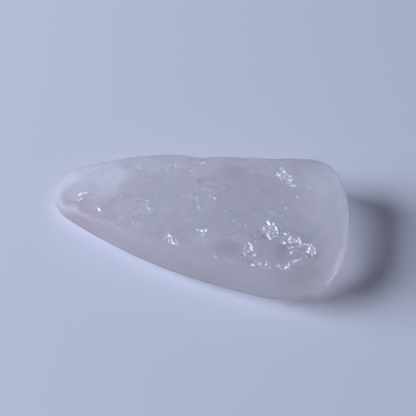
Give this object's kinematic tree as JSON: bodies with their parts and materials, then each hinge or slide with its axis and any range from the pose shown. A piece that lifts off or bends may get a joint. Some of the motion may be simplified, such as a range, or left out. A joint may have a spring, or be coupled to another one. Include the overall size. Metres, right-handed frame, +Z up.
{
  "type": "rose quartz",
  "caption": "Flat, pear-shaped piece of milky, half see-through rose quartz, rough and pitted on top, ground round at its edge, lying on a small flat spot.",
  "frame": {"origin": "middle of the stone's box, on the plane of the flat spot that it lies on", "axes": "+X along the stone's length towards its wide rounded end, -X towards its blunt tip, +Y towards the thicker long side, +Z up from the flat spot to the rough face"},
  "size_m": [0.0418, 0.0226, 0.0063],
  "materials": {
    "rose_quartz": "milky and half see-through, rough on top, satin on the ground edge"
  },
  "bodies": {
    "root": {"rose_quartz_stone": "rose_quartz"}
  },
  "joints": []
}
